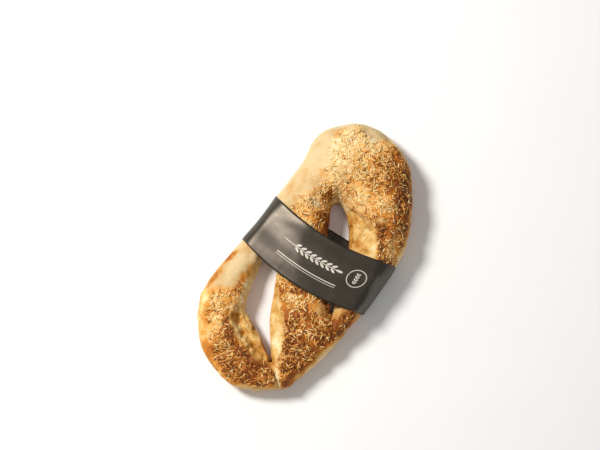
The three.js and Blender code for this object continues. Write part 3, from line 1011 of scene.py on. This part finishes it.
def shred_finish():
    f = Finish("toasted_shreds")
    place = f.place()
    shade, tip = f.number("shade"), f.number("tip")
    fine = f.noise(place, 1.2, 2.0)
    level = shade + (fine - 0.5) * 0.3 + tip**3 * 0.16
    colour = f.colours(
        level, (0.0, "F7D99C"), (0.2, "EDBD6B"), (0.4, "DD9943"), (0.6, "BA7022"), (0.8, "8A4A16"),
        (1.0, "54280B"),
    )
    normal = f.bump(f.noise(place, 0.5, 2.0), 0.12, 0.6)
    return f.set(
        Base_Color=colour, Roughness=0.55, Normal=normal, Subsurface_Weight=0.12,
        Subsurface_Radius=(0.002, 0.0012, 0.0006), Specular_IOR_Level=0.35,
    )


def rosemary_finish():
    f = Finish("dried_rosemary")
    place = f.place()
    level = f.number("shade") * 0.7 + (f.noise(place, 1.0, 2.0) - 0.5) * 0.6 + 0.15
    colour = f.colours(level, (0.0, "2E2E16"), (0.5, "4A4722"), (1.0, "6A5A2A"))
    return f.set(Base_Color=colour, Roughness=0.6)


def printed_ornament(f, u, v):
    """1 where the paper is printed: an ear of wheat, a ring with a sprig in it, and two rules.

    u runs along the strip and v across it, in millimetres.
    """
    ear_at, rules_from = 3.5, -33

    def grains(along, across, pitch, first, last):
        a = along.math("FLOORED_MODULO", along, pitch) - pitch / 2
        b = abs(across) - pitch * 0.4
        long, wide = a * 0.87 + b * 0.5, b * 0.87 - a * 0.5
        inside = 1 - (long / (pitch * 0.54)) ** 2 - (wide / (pitch * 0.21)) ** 2
        return inside.ramp(0.0, 0.3) * (along - first).ramp(-0.05, 0.05) * (last - along).ramp(-0.05, 0.05)

    def rule(across, at, half, along, first, last):
        line = (half - abs(across - at)).ramp(-0.1, 0.1)
        return line * (along - first).ramp(-0.1, 0.1) * (last - along).ramp(-0.1, 0.1)

    ear = grains(u, v - ear_at, 5.2, -20.8, 20.8)
    tip = 1 - ((u - 23.6) / 3.4) ** 2 - ((v - ear_at) / 1.15) ** 2
    ink = ear.larger(tip.ramp(0.0, 0.3)).larger(rule(v, ear_at, 0.3, u, rules_from, 22))
    ink = ink.larger(rule(v, -9.5, 0.42, u, rules_from, 27)).larger(rule(v, -11.6, 0.22, u, rules_from, 27))
    ring_u, ring_v, ring_radius = u - 39.5, v - 3.0, 8.0
    far = ((ring_u**2) + (ring_v**2)) ** 0.5
    sprig = grains(ring_v + 7.8, ring_u, 2.6, 2.6, 13.0)
    sprig = sprig.larger(rule(ring_u, 0.0, 0.18, ring_v, -5.4, 5.0))
    return ink.larger((0.36 - abs(far - ring_radius)).ramp(-0.1, 0.1)).larger(sprig)


def paper_finish():
    f = Finish("band_paper")
    place = f.place()
    strip = f.node("ShaderNodeUVMap", {"uv_map": "strip"})
    axes = (f.node("ShaderNodeSeparateXYZ", values={"Vector": strip}, output=axis) for axis in "XY")
    u, v = (axis * STRIP_SCALE for axis in axes)
    fibre = f.noise(place, 0.7, 3.0, 0.65)
    cloud = f.noise(place, 16, 4.0, 0.62, 0.5)
    chalk = f.noise(f.stretched(place, (1.0, 2.2, 1.0), (0.0, 0.0, 0.7)), 4.5, 5.0, 0.68, 0.6)
    level = 0.42 + (cloud - 0.5) * 0.9 + (chalk - 0.5) * 0.7 + (fibre - 0.5) * 0.25
    colour = f.colours(level, (0.0, "0C0A08"), (0.45, "171411"), (0.75, "2A2520"), (1.0, "463F37"))
    worn = (chalk - 0.5) * 0.5 + (fibre - 0.5) * 0.6 + 0.5
    ink = printed_ornament(f, u, v) * (0.7 + worn.ramp(0.25, 0.55) * 0.3)
    colour = f.mix(ink, colour, tone("CFC8BA"))
    rough = 0.41 + (cloud - 0.5) * 0.12 + (chalk - 0.5) * 0.12 + ink * 0.1
    normal = f.bump(fibre + chalk * 0.6, 0.05, 0.45)
    return f.set(
        Base_Color=colour, Roughness=rough, Normal=normal, Specular_IOR_Level=0.88,
        Specular_Tint=tone("F4E2CC"),
    )


def dress(obj, material):
    obj.data.materials.clear()
    obj.data.materials.append(material)
    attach(obj, "root")


# ---- Camera, light and floor ----
AZIMUTH, ELEVATION = math.radians(23.7), math.radians(80)
RIGHT = Vector((math.cos(AZIMUTH), math.sin(AZIMUTH), 0))
AHEAD = Vector((-math.sin(AZIMUTH), math.cos(AZIMUTH), 0))  # level, away from the camera
UP = Vector((0, 0, 1))
LENS, SENSOR = 85, 36
FIELD = 534  # width of what the camera takes in, at the loaf
AIM = Vector((-MIDDLE[0], -MIDDLE[1], EQUATOR)) - RIGHT * 4.45 + AHEAD * 28.9
FLOOR_DROP = 0.0001  # the floor lies this far under the loaf, in metres


def set_camera():
    data = bpy.data.cameras.new("camera")
    data.lens, data.sensor_width = LENS, SENSOR
    camera = bpy.data.objects.new("camera", data)
    bpy.context.scene.collection.objects.link(camera)
    back = UP * math.sin(ELEVATION) - AHEAD * math.cos(ELEVATION)
    camera.rotation_mode = "QUATERNION"
    camera.location = (AIM + back * FIELD * LENS / SENSOR) * MM
    camera.rotation_quaternion = (-back).to_track_quat("-Z", "Y")
    data.clip_start, data.clip_end = 0.01, 20
    bpy.context.scene.camera = camera


def area_light(name, direction, distance, size, watts, colour):
    """A round lamp that shines on the loaf from the given direction, in metres and watts."""
    data = bpy.data.lights.new(name, "AREA")
    data.shape, data.size, data.energy, data.color = "DISK", size, watts, colour
    light = bpy.data.objects.new(name, data)
    bpy.context.scene.collection.objects.link(light)
    towards = Vector(direction).normalized()
    light.location = towards * distance
    light.rotation_mode = "QUATERNION"
    light.rotation_quaternion = (-towards).to_track_quat("-Z", "Y")


def set_stage():
    window = AHEAD * 0.5 - RIGHT * 0.87 + UP * 1.16
    area_light("window_light", window, distance=1.5, size=0.4, watts=24.2, colour=(1.0, 0.985, 0.96))
    room = RIGHT * 0.5 - AHEAD * 0.6 + UP * 1.5
    area_light("soft_fill", room, distance=1.8, size=1.6, watts=2.4, colour=(1.0, 1.0, 1.0))
    world = bpy.data.worlds.new("studio")
    bpy.context.scene.world = world
    world.use_nodes = True
    background = world.node_tree.nodes["Background"].inputs
    background["Color"].default_value = (1, 1, 1, 1)
    background["Strength"].default_value = 0.33
    bpy.ops.object.select_all(action="DESELECT")
    bpy.ops.mesh.primitive_plane_add(size=6, location=(0, 0, -FLOOR_DROP))
    floor = bpy.context.object
    floor.name = "pale_floor"
    f = Finish("pale_floor")
    grain = f.noise(f.place(), 60, 3.0)
    floor.data.materials.append(
        f.set(Base_Color=f.colours(grain, (0.0, "F4F3F1"), (1.0, "F8F7F5")), Roughness=0.8)
    )
    bpy.context.scene.view_settings.view_transform = "Standard"


# ---- Making ----
set_camera()
set_stage()
loaf = bake_loaf()
# The sunken layer is darker and the top one paler, partly as painted shade and painted light between them.
sunken = shred_topping(
    loaf, "sunken_shreds", np.random.default_rng(11), paler=-0.12, lift=(-0.1, 0.3), tilt=0.05
)
shreds = shred_topping(
    loaf, "toasted_shreds", np.random.default_rng(12), paler=0.25, lift=(0.3, 0.85), tilt=0.13
)
rosemary = rosemary_needles(loaf, np.random.default_rng(23))
band = paper_band([loaf, sunken, shreds])

dress(loaf, crust_finish())
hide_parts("loaf")
shred_look = shred_finish()
dress(sunken, shred_look)
dress(shreds, shred_look)
dress(rosemary, rosemary_finish())
dress(band, paper_finish())
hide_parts("paper_band")
